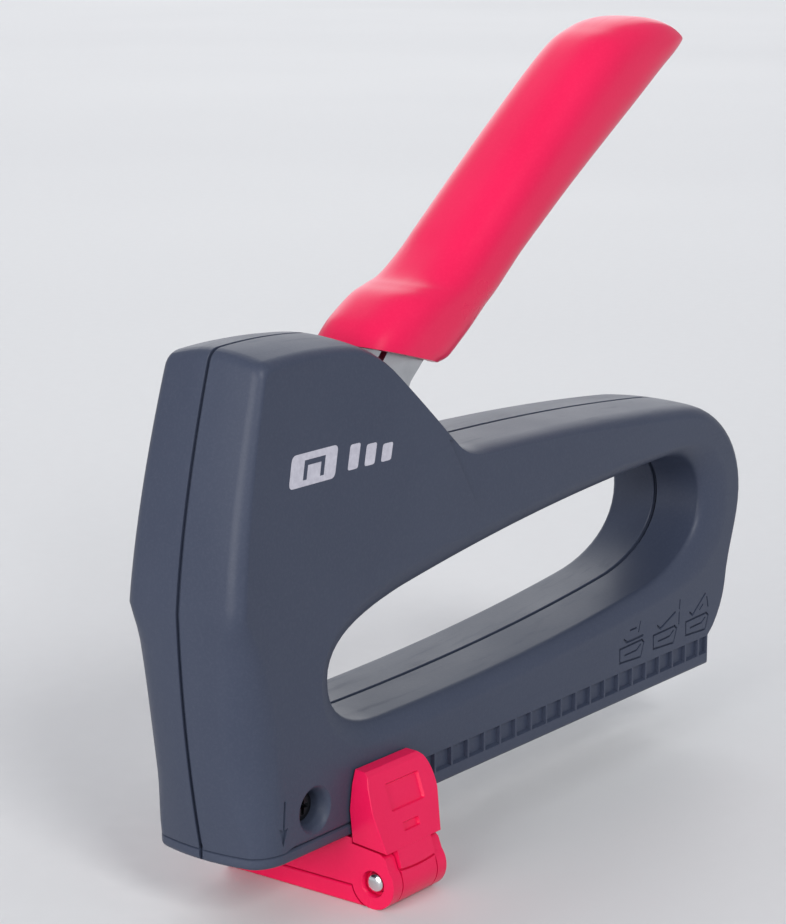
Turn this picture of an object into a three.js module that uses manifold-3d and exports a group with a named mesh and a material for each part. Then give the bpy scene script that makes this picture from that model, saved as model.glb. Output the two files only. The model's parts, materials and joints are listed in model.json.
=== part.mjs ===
// A hand staple gun (light-duty tacker): a two-half plastic housing with a finger loop, a squeeze
// lever that lifts a spring-driven plunger, a staple magazine in the lower bar, and an edge guide
// that clamps on the lower rail. Units are millimetres. +X points to the rear, +Z up, and -Y is the
// left side for a user who looks towards the nose. The origin is in the middle of the nose's
// bottom face, just in front of the slot that the staples leave by.
import * as THREE from 'three';
import { mergeVertices } from 'three/addons/utils/BufferGeometryUtils.js';
import Module from 'manifold-3d';

const wasm = await Module();
wasm.setup();

// Driving dimensions
const GAP = 0.3; // between parts that touch
const HALF_WIDTH = 12.5; // housing, from the mid-plane to a side
const WALL = 2.2; // housing wall
const CAVITY_HALF = HALF_WIDTH - WALL;
const EDGE_IN = 3; // rounded housing edge, in the side plane
const EDGE_DEEP = 3.5; // rounded housing edge, across the width
const FOOT_TOP = 2.15; // nose foot's thickness
const FOOT_REAR = 43;
const RAIL_BOTTOM = FOOT_TOP + GAP;
const RAIL_TOP = 8.3;
const RAIL_REAR = 141.3;
const NOSE_FRONT = -1;
const SLOT_HALF = 7.4; // half width of the opening for the magazine
const SLOT_TOP = 14.8;
const LEVER_SLOT_HALF = 9.6;
const PIVOT = { x: 36, z: 60 }; // lever pivot
const ROLLER = { x: 13.5, z: 53.8, r: 2.8 }; // lift roller on the lever's front end
const CORE_HALF = 5; // lever's steel core, half its width
const GRIP_HALF = 9.2; // lever's grip, half its width
const BLADE_X = 2.4; // front face of the driver blade
const SHELF_Z = ROLLER.z + ROLLER.r + GAP; // underside of the plunger's shelf
const SPRING_X = 10.2; // axis of the drive spring
const GUIDE = { front: 23.5, rear: 38.6, top: -0.35, split: -8.7, bottom: -12.2 };
const GUIDE_MIDDLE = (GUIDE.front + GUIDE.rear) / 2;
const HINGE = { y: -17, z: -7.7, r: 4.5 }; // latch hinge of the edge guide, along X
const CHEEK = 2.5; // thickness of each hinge cheek on the guide's arm
const NOSE_SCREW = [13.7, 7.5];
const SHELL_SCREWS = [[24, 76], [24, 42], [94, 53.2], [147.4, 38], [132, 19.8]];

// Colours and finishes
const finish = (color, roughness, metalness) =>
  new THREE.MeshStandardMaterial({ color, roughness, metalness });
const SLATE = finish(0x4b5364, 0.55, 0);
const RED = finish(0xf02b5d, 0.4, 0);
const STEEL = finish(0x8f9399, 0.35, 1);
const DARK_STEEL = finish(0x4a4a4c, 0.45, 1);
const CHROME = finish(0xd8dadd, 0.12, 1);
const ZINC = finish(0xb9bcc0, 0.3, 1);
const RUBBER = finish(0x1c1c1e, 0.9, 0);

// Solids from geometries and back
function solid(geometry) {
  const bare = geometry.index ? geometry.toNonIndexed() : geometry;
  bare.deleteAttribute('normal');
  bare.deleteAttribute('uv');
  const merged = mergeVertices(bare, 1e-4);
  return new wasm.Manifold(new wasm.Mesh({
    numProp: 3,
    vertProperties: merged.attributes.position.array,
    triVerts: new Uint32Array(merged.index.array),
  }));
}

function geometryOf(manifold) {
  const mesh = manifold.getMesh();
  const geometry = new THREE.BufferGeometry();
  geometry.setAttribute('position', new THREE.BufferAttribute(mesh.vertProperties, 3));
  geometry.setIndex(new THREE.BufferAttribute(mesh.triVerts, 1));
  geometry.computeVertexNormals();
  return geometry;
}

const join = (first, ...rest) => rest.reduce((sum, next) => sum.add(next), first);
const cut = (first, ...rest) => rest.reduce((sum, next) => sum.subtract(next), first);

function block(x0, x1, y0, y1, z0, z1) {
  const geometry = new THREE.BoxGeometry(x1 - x0, y1 - y0, z1 - z0);
  return solid(geometry.translate((x0 + x1) / 2, (y0 + y1) / 2, (z0 + z1) / 2));
}

// A round bar between two coordinates of one axis; across holds its other two coordinates.
function bar(axis, across, r, from, to, sides = 20) {
  const geometry = new THREE.CylinderGeometry(r, r, to - from, sides);
  const middle = (from + to) / 2;
  if (axis === 'x') geometry.rotateZ(Math.PI / 2).translate(middle, across[0], across[1]);
  if (axis === 'y') geometry.translate(across[0], middle, across[1]);
  if (axis === 'z') geometry.rotateX(Math.PI / 2).translate(across[0], across[1], middle);
  return solid(geometry);
}

const shapeOf = (points) => new THREE.Shape(points.map(([a, b]) => new THREE.Vector2(a, b)));

// A side-view (X, Z) shape, extruded across the width from y0 to y1.
function plate(shape, y0, y1, curveSegments = 6) {
  const geometry = new THREE.ExtrudeGeometry(shape, { depth: y1 - y0, bevelEnabled: false, curveSegments });
  return solid(geometry.rotateX(Math.PI / 2).translate(0, y1, 0));
}

// The same, with both outer edges rounded.
function roundedPlate(shape, half, edgeIn, edgeDeep, bevelSegments, curveSegments) {
  const geometry = new THREE.ExtrudeGeometry(shape, {
    depth: 2 * (half - edgeDeep),
    bevelThickness: edgeDeep,
    bevelSize: edgeIn,
    bevelOffset: -edgeIn,
    bevelSegments,
    curveSegments,
  });
  return solid(geometry.rotateX(Math.PI / 2).translate(0, half - edgeDeep, 0));
}

// An end-view (Y, Z) shape, extruded along X.
function lengthwise(points, x0, x1) {
  const geometry = new THREE.ExtrudeGeometry(shapeOf(points), { depth: x1 - x0, bevelEnabled: false });
  geometry.rotateX(Math.PI / 2).rotateZ(Math.PI / 2);
  return solid(geometry.translate(x0, 0, 0));
}

// A closed outline moved sideways by a distance: positive shrinks it, negative grows it.
function inset(points, distance) {
  const sign = THREE.ShapeUtils.isClockWise(points) ? -1 : 1;
  return points.map((here, i) => {
    const before = points[(i + points.length - 1) % points.length];
    const after = points[(i + 1) % points.length];
    const a = here.clone().sub(before).normalize();
    const b = after.clone().sub(here).normalize();
    const mitre = new THREE.Vector2(-a.y - b.y, a.x + b.x).normalize();
    const stretch = 1 / Math.max(0.5, mitre.x * -a.y + mitre.y * a.x);
    return here.clone().add(mitre.multiplyScalar(sign * distance * stretch));
  });
}

function withoutRepeats(points) {
  const kept = points.filter((p, i) => i === 0 || p.distanceTo(points[i - 1]) > 1e-3);
  if (kept[0].distanceTo(kept[kept.length - 1]) < 1e-3) kept.pop();
  return kept;
}

// Side view of the housing: nose, crease, head, back slope, upper bar, rear loop and rail end.
function housingOutline() {
  const s = new THREE.Shape();
  s.moveTo(NOSE_FRONT, RAIL_BOTTOM);
  s.quadraticCurveTo(-5.2, 22.8, -5.8, 43.5);
  s.quadraticCurveTo(-4.6, 62.9, 1.2, 80);
  s.quadraticCurveTo(3.2, 85.3, 6.5, 85.6);
  s.quadraticCurveTo(16.5, 86.4, 26.5, 85.2);
  s.quadraticCurveTo(31.5, 84.4, 37.8, 78.2);
  s.lineTo(55, 63.6);
  s.quadraticCurveTo(57.6, 61.4, 64, 61.4);
  s.quadraticCurveTo(101, 61, 134, 57.6);
  s.bezierCurveTo(146, 56.2, 155.1, 48, 155.1, 37);
  s.bezierCurveTo(155.1, 30, 150.5, 25, 149.6, 18);
  s.quadraticCurveTo(149, 13.5, 144, 9.2);
  s.lineTo(RAIL_REAR, RAIL_TOP);
  s.lineTo(RAIL_REAR, RAIL_BOTTOM);
  return s;
}

// Side view of the finger hole at the mid-plane.
function fingerHole() {
  const s = new THREE.Path();
  s.moveTo(34, 18.7);
  s.quadraticCurveTo(80, 18.6, 119, 23.2);
  s.bezierCurveTo(130, 24.4, 139.6, 29.5, 139.6, 37);
  s.bezierCurveTo(139.6, 44.5, 133, 47.6, 124, 47.5);
  s.quadraticCurveTo(82, 46.2, 40, 39.5);
  s.bezierCurveTo(28, 37.2, 20.1, 34.5, 20.1, 28.5);
  s.bezierCurveTo(20.1, 22.5, 25.5, 18.9, 34, 18.7);
  return s;
}

// Plan view of the nose and rail, with rounded front corners, as a prism.
function planPrism(z0, z1, rear) {
  const r = 2.5;
  const s = new THREE.Shape();
  s.moveTo(rear, -HALF_WIDTH);
  s.lineTo(rear, HALF_WIDTH);
  s.lineTo(NOSE_FRONT + r, HALF_WIDTH);
  s.quadraticCurveTo(NOSE_FRONT, HALF_WIDTH, NOSE_FRONT, HALF_WIDTH - r);
  s.lineTo(NOSE_FRONT, r - HALF_WIDTH);
  s.quadraticCurveTo(NOSE_FRONT, -HALF_WIDTH, NOSE_FRONT + r, -HALF_WIDTH);
  const geometry = new THREE.ExtrudeGeometry(s, { depth: z1 - z0, bevelEnabled: false, curveSegments: 4 });
  return solid(geometry.translate(0, 0, z0));
}

// Both halves of the housing as one hollow solid, with every opening cut.
function hollowHousing() {
  const outline = housingOutline();
  outline.holes.push(fingerHole());
  const outside = join(
    roundedPlate(outline, HALF_WIDTH, EDGE_IN, EDGE_DEEP, 3, 6),
    planPrism(RAIL_BOTTOM, RAIL_TOP, RAIL_REAR),
  );
  const inner = new THREE.Shape(inset(withoutRepeats(housingOutline().getPoints(6)), WALL));
  inner.holes.push(new THREE.Path(inset(withoutRepeats(fingerHole().getPoints(6)), -WALL)));
  const cavity = plate(inner, -CAVITY_HALF, CAVITY_HALF);
  const magazineSlot = block(1, 160, -SLOT_HALF, SLOT_HALF, -1, SLOT_TOP);
  const leverSlot = plate(
    shapeOf([[31, 92], [31, 74], [58.5, 55], [58.5, 70], [45, 92]]),
    -LEVER_SLOT_HALF,
    LEVER_SLOT_HALF,
  );
  return cut(outside, cavity, magazineSlot, leverSlot);
}

// One half of the housing. side is -1 for the left half and 1 for the right half, which takes the
// screw heads.
function shellHalf(housing, side) {
  const inner = 0.15;
  const far = HALF_WIDTH + 1;
  const keep = side < 0 ? block(-20, 170, -far, -inner, -5, 95) : block(-20, 170, inner, far, -5, 95);
  const across = (from, to) => (side < 0 ? [-to, -from] : [from, to]);
  const tube = (at, r, from, to) => bar('y', at, r, ...across(from, to));
  let half = housing.intersect(keep);
  const bosses = SHELL_SCREWS.map((at) => tube(at, 3.4, 0.3, CAVITY_HALF + 0.3));
  bosses.push(tube([PIVOT.x, PIVOT.z], 4.6, CORE_HALF + 0.6, CAVITY_HALF + 0.3));
  bosses.push(block(3.6, 12, ...across(4, CAVITY_HALF + 0.3), 21.5, 23.7)); // bumper ledge
  bosses.push(tube(NOSE_SCREW, 4, SLOT_HALF, CAVITY_HALF + 0.3));
  half = join(half, ...bosses);
  const holes = [tube([PIVOT.x, PIVOT.z], 2.6, 4, 9.6)];
  for (const at of SHELL_SCREWS) {
    holes.push(side < 0 ? tube(at, 1.7, 0, 8.8) : tube(at, 1.7, 0, far));
    if (side > 0) holes.push(tube(at, 3.3, 10.1, far));
  }
  holes.push(tube(NOSE_SCREW, 1.7, 6, far), tube(NOSE_SCREW, 2.9, 8.9, far));
  return cut(half, ...holes);
}

function shellScrew([x, z]) {
  const shank = bar('y', [x, z], 1.4, -8.5, 10.4);
  const head = bar('y', [x, z], 2.9, 10.4, 12);
  return join(shank, head);
}

// A short screw through the nose side wall; side is -1 for the left and 1 for the right.
function noseScrew(side) {
  const across = (from, to) => (side < 0 ? [-to, -from] : [from, to]);
  const shank = bar('y', NOSE_SCREW, 1.4, ...across(7.2, 9.3));
  const head = bar('y', NOSE_SCREW, 2.6, ...across(9.2, 10.1));
  return join(shank, head);
}

// The U-shaped foot under the nose. Its flat underside is the work face.
function noseFoot() {
  const slot = block(1, FOOT_REAR + 1, -SLOT_HALF, SLOT_HALF, -1, FOOT_TOP + 1);
  const bores = [-1, 1].map((side) => bar('z', [36, side * 10], 1.6, -1, FOOT_TOP + 1));
  return cut(planPrism(0, FOOT_TOP, FOOT_REAR), slot, ...bores);
}

const footScrew = (side) => bar('z', [36, side * 10], 1.3, 0.2, RAIL_BOTTOM - GAP);

// Guide plate that the driver blade slides behind.
const nosePlate = () => block(1.3, 2.1, -SLOT_HALF + GAP, SLOT_HALF - GAP, 0.3, 26);

const driverBlade = () => block(BLADE_X, BLADE_X + 0.8, -5.2, 5.2, 1.2, 50);

// Hammer plate with a shelf that the lever's roller lifts and the drive spring pushes down.
function plunger() {
  const front = BLADE_X + 0.8 + GAP;
  const back = front + 2;
  const top = SHELF_Z + 2;
  const side = shapeOf([
    [front, 30], [back, 30], [back, SHELF_Z], [14.7, SHELF_Z], [14.7, top], [back, top],
    [back, 64], [front, 64],
  ]);
  return plate(side, -6, 6);
}

const bumper = () => block(3.6, 10, -6, 6, 24, 29.7);

// A coil spring along one axis as a swept round wire.
function coil(axis, across, radius, wire, from, to, turns, wireSides = 6) {
  const steps = Math.round(turns * 12);
  const low = from + wire / 2;
  const high = to - wire / 2;
  const points = Array.from({ length: steps + 1 }, (_, i) => {
    const t = i / steps;
    const angle = 2 * Math.PI * turns * t;
    const along = low + (high - low) * t;
    const a = across[0] + radius * Math.cos(angle);
    const b = across[1] + radius * Math.sin(angle);
    if (axis === 'x') return new THREE.Vector3(along, a, b);
    if (axis === 'y') return new THREE.Vector3(a, along, b);
    return new THREE.Vector3(a, b, along);
  });
  const section = new THREE.Shape();
  section.absarc(0, 0, wire / 2, 0, 2 * Math.PI);
  return solid(new THREE.ExtrudeGeometry(section, {
    extrudePath: new THREE.CatmullRomCurve3(points),
    steps,
    curveSegments: wireSides / 2,
    bevelEnabled: false,
  }));
}

const driveSpring = () => coil('z', [SPRING_X, 0], 3.7, 1.2, SHELF_Z + 2 + GAP, 80.7, 6);

// Cup that centres the drive spring under the top of the head.
function springSeat() {
  const disc = bar('z', [SPRING_X, 0], 5, 81, 82.2, 24);
  const post = bar('z', [SPRING_X, 0], 2.6, 78, 81.2, 16);
  return join(disc, post);
}

const pivotPin = () => bar('y', [PIVOT.x, PIVOT.z], 2.3, -9.3, 9.3);

// Side view of a core cheek: round front end, pivot eye, and the arm that runs up into the grip.
function coreOutline() {
  const s = new THREE.Shape();
  s.moveTo(13.5, 51.3);
  s.quadraticCurveTo(26, 51.8, 36, 55);
  s.quadraticCurveTo(42.5, 56, 43.5, 63);
  s.lineTo(50, 74);
  s.lineTo(58, 81);
  s.lineTo(95, 107);
  s.lineTo(95, 112);
  s.lineTo(52, 85.6);
  s.quadraticCurveTo(40, 80, 34.5, 68);
  s.quadraticCurveTo(27, 57.6, 13.5, 56.3);
  s.quadraticCurveTo(11, 56.2, 11, 53.8);
  s.quadraticCurveTo(11, 51.4, 13.5, 51.3);
  return s;
}

function leverCore() {
  const cheeks = [-1, 1].map((side) => {
    const [y0, y1] = side < 0 ? [-CORE_HALF, -3.6] : [3.6, CORE_HALF];
    return plate(coreOutline(), y0, y1, 5);
  });
  const web = plate(shapeOf([[60, 85.2], [93, 108], [93, 109.5], [58, 87]]), -4, 4);
  const eye = bar('y', [PIVOT.x, PIVOT.z], 2.6, -6, 6);
  const pinHole = bar('y', [ROLLER.x, ROLLER.z], 1.3, -6, 6, 16);
  return cut(join(...cheeks, web), eye, pinHole);
}

function liftRoller() {
  const wheel = bar('y', [ROLLER.x, ROLLER.z], ROLLER.r, -3.2, 3.2);
  return cut(wheel, bar('y', [ROLLER.x, ROLLER.z], 1.3, -4, 4, 16));
}

const rollerPin = () => bar('y', [ROLLER.x, ROLLER.z], 1, -4.9, 4.9, 16);

const returnSpring = () => coil('y', [PIVOT.x, PIVOT.z], 3.9, 0.9, -3, 3, 5);

// Stations of the grip from its flared shroud to the beak at its tip: a point on the upper side,
// the facing point on the lower side, and half the width there.
const GRIP_STATIONS = [
  [[36, 82], [57.3, 76.2], 9.2],
  [[40.9, 86.3], [61.9, 77.6], 9.2],
  [[46.2, 89.1], [67.2, 81.2], 9.2],
  [[52.1, 90.8], [73, 85.7], 9.1],
  [[58.3, 94], [77.8, 89.5], 9],
  [[66.7, 100.1], [83.3, 93.7], 9],
  [[84.9, 114.3], [99.9, 104.6], 9],
  [[104, 128.5], [120.6, 117.3], 8.9],
  [[112.4, 132.6], [129.6, 122.7], 8.4],
  [[122.2, 134.3], [136, 126], 7.6],
  [[128.5, 134], [138.6, 127.6], 6.8],
  [[134.5, 132.7], [140.6, 128.9], 5.2],
  [[138.6, 131.4], [141.3, 129.7], 2.8],
];

// A closed skin over rings of equal size, with a flat fan at each end.
function loft(rings) {
  const count = rings[0].length;
  const last = rings.length - 1;
  const points = rings.flat();
  const index = [];
  for (let i = 0; i < last; i += 1) {
    for (let j = 0; j < count; j += 1) {
      const a = i * count + j;
      const b = i * count + ((j + 1) % count);
      index.push(a, b + count, b, a, a + count, b + count);
    }
  }
  for (let j = 1; j < count - 1; j += 1) {
    index.push(0, j, j + 1);
    index.push(last * count, last * count + j + 1, last * count + j);
  }
  const geometry = new THREE.BufferGeometry().setFromPoints(points);
  geometry.setIndex(index);
  return solid(geometry);
}

function leverGrip() {
  const along = (pick) => new THREE.CatmullRomCurve3(GRIP_STATIONS.map(pick), false, 'centripetal');
  const upper = along(([top]) => new THREE.Vector3(top[0], 0, top[1]));
  const lower = along(([, bottom]) => new THREE.Vector3(bottom[0], 0, bottom[1]));
  const wide = along(([, , half], i) => new THREE.Vector3(i, half, 0));
  const steps = 28;
  const sides = 28;
  const squareness = 2 / 2.8; // superellipse section, between an oval and a rounded box
  const power = (value) => Math.sign(value) * Math.abs(value) ** squareness;
  const rings = Array.from({ length: steps + 1 }, (_, i) => {
    const t = i / steps;
    const top = upper.getPoint(t);
    const middle = top.clone().add(lower.getPoint(t)).multiplyScalar(0.5);
    const rise = top.clone().sub(middle);
    const half = wide.getPoint(t).y;
    return Array.from({ length: sides }, (_unused, j) => {
      const angle = (2 * Math.PI * j) / sides;
      const point = middle.clone().addScaledVector(rise, power(Math.cos(angle)));
      point.y = half * power(Math.sin(angle));
      return point;
    });
  });
  const pocket = plate(
    shapeOf([[34, 70], [62, 70], [61.5, 80.5], [95.4, 106.2], [95.4, 112.9], [52, 86.6], [38, 84]]),
    -CORE_HALF - GAP,
    CORE_HALF + GAP,
  );
  return cut(loft(rings), pocket);
}

// Lower bar: channel, inner rail, staples, pusher and the drawer that carries the pusher.
function magazineChannel() {
  const out = 6.9;
  const inn = 6;
  const side = 2.6;
  return lengthwise([
    [-out, side], [-inn, side], [-inn, 13.2], [inn, 13.2], [inn, side], [out, side],
    [out, 14.1], [-out, 14.1],
  ], 3.5, 140.5);
}

function magazineCore() {
  const out = 4.6;
  const inn = 3.8;
  const side = 4.2;
  return lengthwise([
    [-out, side], [-inn, side], [-inn, 10.6], [inn, 10.6], [inn, side], [out, side],
    [out, 11.4], [-out, 11.4],
  ], 3.5, 137.5);
}

function stapleStrip() {
  const out = 5.6;
  const inn = 4.95;
  const tip = 4.8;
  return lengthwise([
    [-out, tip], [-inn, tip], [-inn, 11.75], [inn, 11.75], [inn, tip], [out, tip],
    [out, 12.4], [-out, 12.4],
  ], 3.5, 53.5);
}

function pusher() {
  const x0 = 53.9;
  const x1 = 66;
  const ring = block(x0, x1, -5.6, 5.6, 2.7, 12.7);
  const around = lengthwise([
    [-4.95, 3.9], [-3.4, 3.9], [-3.4, 10.2], [3.4, 10.2], [3.4, 3.9], [4.95, 3.9],
    [4.95, 11.75], [-4.95, 11.75],
  ], x0 - 1, x1 + 1);
  return cut(ring, around, bar('x', [0, 6.8], 1.7, x0 - 1, x1 + 1));
}

const pusherRod = () => bar('x', [0, 6.8], 1.3, 50, 138.2, 16);

const pusherSpring = () => coil('x', [0, 6.8], 2.5, 0.8, 66.4, 137.9, 22, 4);

function magazineTail() {
  const end = block(138.4, RAIL_REAR - GAP, -5.6, 5.6, 2.9, 12.8);
  return cut(end, bar('x', [0, 6.8], 1.5, 138, 139.5, 16));
}

// Edge guide. The arm crosses under the rail and hooks up the right side; the latch lies against
// the left side and swings out on a hinge pin.
function guideArm() {
  const { front, rear, top, split } = GUIDE;
  const crossing = lengthwise([
    [16, split], [16, 8], [12.9, 8], [12.9, top], [-12.5, top], [-12.5, -1.4],
    [-18.6, -2], [-19.7, -2.8], [HINGE.y - HINGE.r, HINGE.z], [HINGE.y, split],
  ], front, rear);
  const knuckle = bar('x', [HINGE.y, HINGE.z], HINGE.r, front, rear, 32);
  const room = HINGE.r + GAP;
  const middle = [front + CHEEK, rear - CHEEK];
  const barrelRoom = bar('x', [HINGE.y, HINGE.z], room, ...middle, 32);
  const plateRoom = block(...middle, HINGE.y - room, -12.6, HINGE.z, 1);
  const pinHole = bar('x', [HINGE.y, HINGE.z], 1.9, front - 1, rear + 1);
  const pinRecess = bar('x', [HINGE.y, HINGE.z], 2.25, front - 1, front + 0.8);
  const screwHoles = [-1, 1].map((side) => bar('z', [GUIDE_MIDDLE, side * 7], 1.5, -13, -3.5));
  return cut(join(crossing, knuckle), barrelRoom, plateRoom, pinHole, pinRecess, ...screwHoles);
}

function guideSole() {
  const { front, rear, split, bottom } = GUIDE;
  const slab = block(front, rear, HINGE.y, 16, bottom, split - GAP);
  const aroundKnuckle = bar('x', [HINGE.y, HINGE.z], HINGE.r + GAP, front - 1, rear + 1, 32);
  const screwHoles = [-1, 1].map((side) => bar('z', [GUIDE_MIDDLE, side * 7], 1.5, -13, -8));
  const headRoom = [-1, 1].map((side) => bar('z', [GUIDE_MIDDLE, side * 7], 2.8, -13, -10.4));
  return cut(slab, aroundKnuckle, ...screwHoles, ...headRoom);
}

function guideScrew(side) {
  const shank = bar('z', [GUIDE_MIDDLE, side * 7], 1.2, -10.8, -4);
  const head = bar('z', [GUIDE_MIDDLE, side * 7], 2.5, -12, -10.7);
  return join(shank, head);
}

const guidePin = () => bar('x', [HINGE.y, HINGE.z], 1.6, GUIDE.front + 0.3, GUIDE.rear - 0.3);

// Side view of the latch's tab: waisted, widest at mid height, with its rear top corner rounded.
function latchTabShape() {
  const s = new THREE.Shape();
  s.moveTo(24.2, 12.5);
  s.lineTo(23.1, 9.3);
  s.lineTo(22.5, 5);
  s.lineTo(23.4, -2);
  s.lineTo(38.6, -2);
  s.lineTo(40.9, 5.2);
  s.quadraticCurveTo(41.2, 10.2, 38, 12.1);
  s.lineTo(37, 12.5);
  return s;
}

function guideLatch() {
  const { front, rear } = GUIDE;
  const room = CHEEK + GAP;
  const tab = lengthwise([
    [-12.85, 11.9], [-15, 11.7], [-15.8, 11], [-20.2, -1.7], [-12.85, -1],
  ], front - 2, rear + 4).intersect(plate(latchTabShape(), -22, -12));
  const tongue = lengthwise([
    [-13.2, -1.1], [-20.1, -1.6], [-20.9, -4.2], [HINGE.y - HINGE.r, HINGE.z], [-14, HINGE.z],
    [-13.2, -4.6],
  ], front + room, rear - room);
  const barrel = bar('x', [HINGE.y, HINGE.z], HINGE.r, front + room, rear - room, 32);
  const pinHole = bar('x', [HINGE.y, HINGE.z], 1.9, front, rear);
  return cut(join(tab, tongue, barrel), pinHole);
}

const housing = hollowHousing();
const parts = [
  ['left_shell', shellHalf(housing, -1), SLATE],
  ['right_shell', shellHalf(housing, 1), SLATE],
  ['nose_foot', noseFoot(), SLATE],
  ['foot_screw_left', footScrew(-1), ZINC],
  ['foot_screw_right', footScrew(1), ZINC],
  ['nose_screw_left', noseScrew(-1), DARK_STEEL],
  ['nose_screw_right', noseScrew(1), DARK_STEEL],
  ['nose_plate', nosePlate(), STEEL],
  ['driver_blade', driverBlade(), STEEL],
  ['plunger', plunger(), STEEL],
  ['bumper', bumper(), RUBBER],
  ['drive_spring', driveSpring(), ZINC],
  ['spring_seat', springSeat(), ZINC],
  ['lever_pivot_pin', pivotPin(), ZINC],
  ['lever_core', leverCore(), DARK_STEEL],
  ['lift_roller', liftRoller(), STEEL],
  ['roller_pin', rollerPin(), STEEL],
  ['lever_return_spring', returnSpring(), ZINC],
  ['lever_grip', leverGrip(), RED],
  ['magazine_channel', magazineChannel(), STEEL],
  ['magazine_core', magazineCore(), STEEL],
  ['staple_strip', stapleStrip(), ZINC],
  ['pusher', pusher(), DARK_STEEL],
  ['pusher_rod', pusherRod(), STEEL],
  ['pusher_spring', pusherSpring(), ZINC],
  ['magazine_tail', magazineTail(), DARK_STEEL],
  ['guide_arm', guideArm(), RED],
  ['guide_sole', guideSole(), RED],
  ['guide_screw_left', guideScrew(-1), ZINC],
  ['guide_screw_right', guideScrew(1), ZINC],
  ['guide_pin', guidePin(), CHROME],
  ['guide_latch', guideLatch(), RED],
];
SHELL_SCREWS.forEach((at, i) => parts.push(['shell_screw_' + (i + 1), shellScrew(at), ZINC]));

const gun = new THREE.Group();
for (const [name, shape, material] of parts) {
  const mesh = new THREE.Mesh(geometryOf(shape), material);
  mesh.name = name;
  gun.add(mesh);
}

export default gun;
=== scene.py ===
import json
import math

import bmesh
import bpy
import numpy as np
from mathutils import Matrix, Vector


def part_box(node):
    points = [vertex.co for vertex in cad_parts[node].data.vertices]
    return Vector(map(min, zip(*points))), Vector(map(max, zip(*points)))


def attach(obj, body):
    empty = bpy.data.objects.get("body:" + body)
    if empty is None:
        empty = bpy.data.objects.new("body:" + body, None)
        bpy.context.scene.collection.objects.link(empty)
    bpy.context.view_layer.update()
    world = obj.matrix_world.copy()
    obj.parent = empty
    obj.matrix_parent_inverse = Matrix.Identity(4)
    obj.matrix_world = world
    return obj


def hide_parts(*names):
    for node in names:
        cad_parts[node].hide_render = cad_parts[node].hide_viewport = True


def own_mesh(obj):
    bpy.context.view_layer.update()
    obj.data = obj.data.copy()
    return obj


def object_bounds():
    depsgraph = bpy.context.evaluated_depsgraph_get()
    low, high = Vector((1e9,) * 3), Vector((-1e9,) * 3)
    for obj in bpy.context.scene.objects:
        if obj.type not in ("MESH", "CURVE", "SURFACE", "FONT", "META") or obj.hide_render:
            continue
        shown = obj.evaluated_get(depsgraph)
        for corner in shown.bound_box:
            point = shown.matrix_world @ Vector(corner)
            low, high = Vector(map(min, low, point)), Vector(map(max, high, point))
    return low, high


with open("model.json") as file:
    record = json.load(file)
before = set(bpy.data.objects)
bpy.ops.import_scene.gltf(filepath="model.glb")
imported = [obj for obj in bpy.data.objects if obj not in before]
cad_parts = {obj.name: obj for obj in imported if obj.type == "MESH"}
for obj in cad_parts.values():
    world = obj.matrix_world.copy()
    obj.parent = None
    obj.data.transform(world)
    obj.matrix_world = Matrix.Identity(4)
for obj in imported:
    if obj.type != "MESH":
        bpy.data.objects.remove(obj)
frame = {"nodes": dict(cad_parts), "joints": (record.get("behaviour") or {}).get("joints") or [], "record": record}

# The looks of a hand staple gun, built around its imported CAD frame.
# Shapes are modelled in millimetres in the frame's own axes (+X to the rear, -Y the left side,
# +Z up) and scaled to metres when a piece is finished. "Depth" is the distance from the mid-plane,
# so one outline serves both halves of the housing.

CAD_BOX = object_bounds()
MM = 0.001
JOINTS = {joint["name"]: joint for joint in frame["joints"]}


def joint_at(name):
    """Where a hinge is, in millimetres."""
    return np.array(JOINTS[name]["pos_m"]) / MM


def cad_box(node):
    """Lowest and highest corner of a CAD node, in millimetres."""
    low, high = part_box(node)
    return np.array(low) / MM, np.array(high) / MM


PIVOT = joint_at("lever_squeeze")
HINGE = joint_at("latch_open")
HALF = cad_box("right_shell")[1][1]  # housing, from the mid-plane to a side
GAP = 0.3
WALL = 2.2
CAVITY = HALF - WALL
SEAM_HALF = 0.4  # groove between the two halves of the housing
SEAM_DEEP = 0.7
FOOT_TOP = cad_box("nose_foot")[1][2]
FOOT_REAR = cad_box("nose_foot")[1][0]
SHELL_BOTTOM = FOOT_TOP + 0.05
RAIL_TOP = 8.3
RAIL_REAR = 141.3
LIP_TOP = 4.7  # lower edge of the windows along the rail
NOSE_SCREW = (13.7, 7.5)
SHELL_SCREWS = ((24, 76), (24, 42), (94, 53.2), (147.4, 38), (132, 19.8))
FOOT_SCREW_X, FOOT_SCREW_Y = 36, 10
THREAD = 1.7  # radius of the holes that the screws go into
MAGAZINE_HALF, MAGAZINE_TOP = 7.4, 14.8  # room for the magazine in the rail
LEVER_SLOT_HALF = 7.2
GUIDE_LOW, GUIDE_HIGH = cad_box("guide_arm")
FRONT, REAR = GUIDE_LOW[0], GUIDE_HIGH[0]
GUIDE_MIDDLE = (FRONT + REAR) / 2
GUIDE_SCREW_Y = 7
CHEEK = 2.5
KNUCKLE = 4.5
SPLIT = -8.7  # between the guide's arm and its sole


# ---------------------------------------------------------------- outlines

def trace(start, legs, steps):
    """Points along straight and Bezier legs; a leg is its control points, then its end."""
    points = [np.array(start, float)]
    for leg, count in zip(legs, steps):
        control = [points[-1]] + [np.array(leg[i:i + 2], float) for i in range(0, len(leg), 2)]
        for k in range(1, count + 1):
            row = control
            while len(row) > 1:
                row = [a + (b - a) * k / count for a, b in zip(row, row[1:])]
            points.append(row[0])
    return np.array(points)


def closed(points):
    """The same outline without a last point that repeats the first."""
    return points[:-1] if np.linalg.norm(points[0] - points[-1]) < 1e-6 else points


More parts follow.
